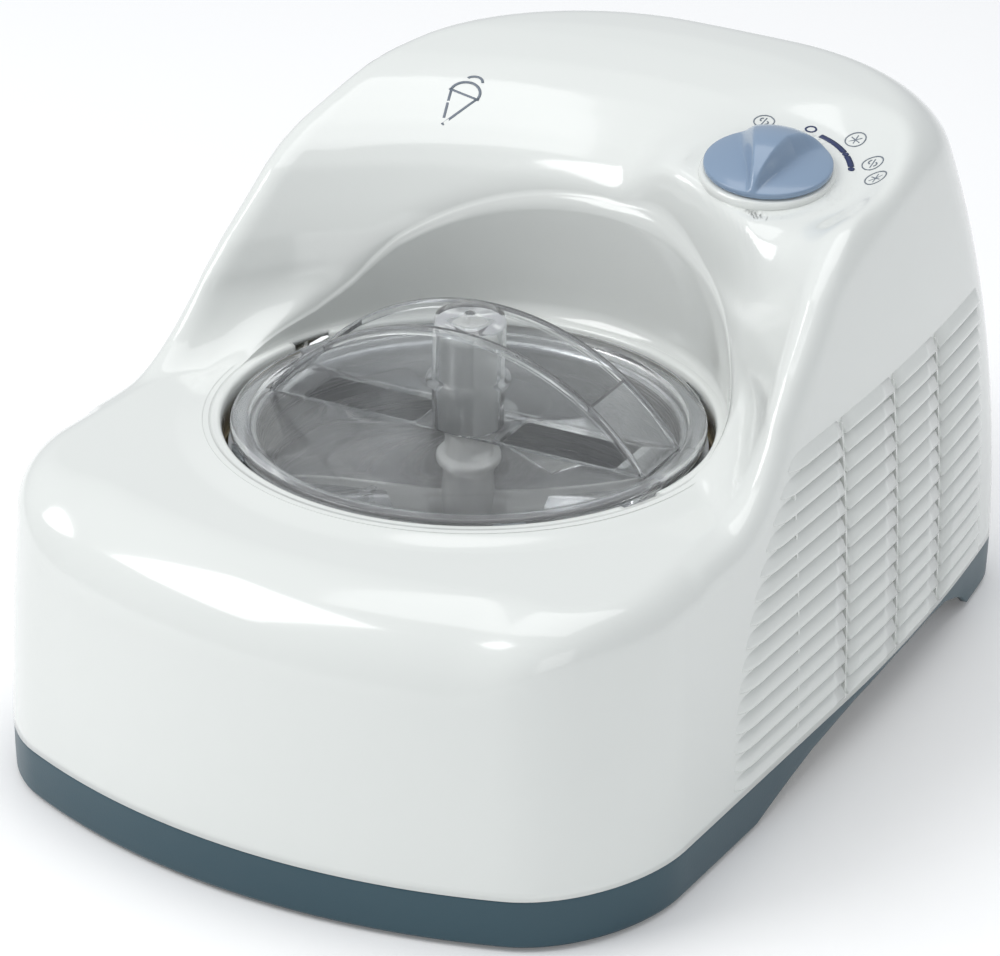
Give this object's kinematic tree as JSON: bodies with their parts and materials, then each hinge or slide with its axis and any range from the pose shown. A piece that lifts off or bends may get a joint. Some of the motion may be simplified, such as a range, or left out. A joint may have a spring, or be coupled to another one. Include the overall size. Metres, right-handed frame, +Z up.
{
  "type": "ice cream maker",
  "caption": "Countertop compressor ice cream maker: bowed white housing, side grilles, lift-out bowl under a clear arched lid, paddle drive, fan-cooled condenser and a selector knob",
  "frame": {"origin": "centre of the footprint on the plane the rubber feet rest on", "axes": "+Z up, front faces -Y, +X is the user's right as they face the front"},
  "size_m": [0.285, 0.4091, 0.2277],
  "materials": {
    "white_plastic": "gloss",
    "teal_plastic": "satin",
    "black_rubber": "matt",
    "zinc_steel": "satin",
    "well_aluminium": "satin",
    "copper": "satin",
    "foam": "matt",
    "gear_brass": "satin",
    "shaft_steel": "polished",
    "gear_plastic": "matt",
    "motor_steel": "satin",
    "gearbox_plastic": "matt",
    "bowl_steel": "brushed",
    "tab_steel": "brushed",
    "paddle_plastic": "satin",
    "clear_plastic": "clear",
    "smoke_plastic": "clear",
    "black_enamel": "gloss",
    "black_plastic": "matt",
    "terminal_plastic": "matt",
    "knob_plastic": "gloss"
  },
  "bodies": {
    "chassis": {"housing_shell": "white_plastic", "grille_right": "white_plastic", "grille_left": "white_plastic", "bowl_collar": "white_plastic", "base_tray": "teal_plastic", "rubber_feet": "black_rubber", "base_screws": "zinc_steel", "screw_bosses": "white_plastic", "cooling_well": "well_aluminium", "evaporator_coil": "copper", "insulation_jacket": "foam", "shaft_bushing": "gear_brass", "shaft_seal": "black_rubber", "idler_pin": "shaft_steel", "mixing_motor": "motor_steel", "gearbox_housing": "gearbox_plastic", "gearbox_cover": "gearbox_plastic", "compressor": "black_enamel", "compressor_plate": "zinc_steel", "compressor_stem": "zinc_steel", "compressor_grommets": "black_rubber", "compressor_relay": "black_plastic", "condenser_fins": "well_aluminium", "condenser_tube": "copper", "condenser_frame": "zinc_steel", "fan_motor": "motor_steel", "fan_bracket": "zinc_steel", "filter_drier": "copper", "discharge_line": "copper", "liquid_line": "copper", "capillary_tube": "copper", "suction_line": "copper", "cable_gland": "black_plastic", "terminal_block": "terminal_plastic", "knob_seat": "white_plastic", "selector_switch": "black_plastic", "switch_bracket": "zinc_steel"},
    "bowl": {"removable_bowl": "bowl_steel", "bowl_tabs": "tab_steel"},
    "lid": {"lid_panel": "clear_plastic", "lid_lugs": "smoke_plastic"},
    "paddle": {"paddle_column": "paddle_plastic", "paddle_blades": "paddle_plastic"},
    "output": {"output_gear": "gear_brass", "drive_shaft": "shaft_steel"},
    "idler": {"idler_gear": "gear_plastic"},
    "pinion": {"motor_pinion": "gear_plastic", "motor_shaft": "shaft_steel"},
    "fan": {"fan_blade": "black_plastic", "fan_shaft": "shaft_steel"},
    "selector": {"control_knob": "knob_plastic", "knob_spindle": "shaft_steel"}
  },
  "joints": [
    {"name": "bowl_lift", "type": "slide", "parent": "chassis", "child": "bowl", "axis": [0, 0, 1], "range_m": [0, 0.11]},
    {"name": "lid_lift", "type": "slide", "parent": "bowl", "child": "lid", "axis": [0, 0, 1], "range_m": [0, 0.06]},
    {"name": "paddle_spin", "type": "hinge", "parent": "bowl", "child": "paddle", "pos_m": [0, -0.037, 0.08], "axis": [0, 0, 1], "continuous": true},
    {"name": "output_spin", "type": "hinge", "parent": "chassis", "child": "output", "pos_m": [0, -0.037, 0.012], "axis": [0, 0, 1], "continuous": true},
    {"name": "idler_spin", "type": "hinge", "parent": "chassis", "child": "idler", "pos_m": [0.057, -0.10665, 0.012], "axis": [0, 0, 1], "continuous": true},
    {"name": "pinion_spin", "type": "hinge", "parent": "chassis", "child": "pinion", "pos_m": [0.08487, -0.14069, 0.012], "axis": [0, 0, 1], "continuous": true},
    {"name": "fan_spin", "type": "hinge", "parent": "chassis", "child": "fan", "pos_m": [0.062, 0.116, 0.078], "axis": [1, 0, 0], "continuous": true},
    {"name": "knob_turn", "type": "hinge", "parent": "chassis", "child": "selector", "pos_m": [0.068, 0.075, 0.2085], "axis": [0.0674, -0.1412, 0.9877], "range_deg": [-70, 60]}
  ],
  "couplings": [
    {"joint": "paddle_spin", "follows": "output_spin", "ratio": 1},
    {"joint": "idler_spin", "follows": "output_spin", "ratio": -1.5},
    {"joint": "pinion_spin", "follows": "output_spin", "ratio": 6.75}
  ]
}
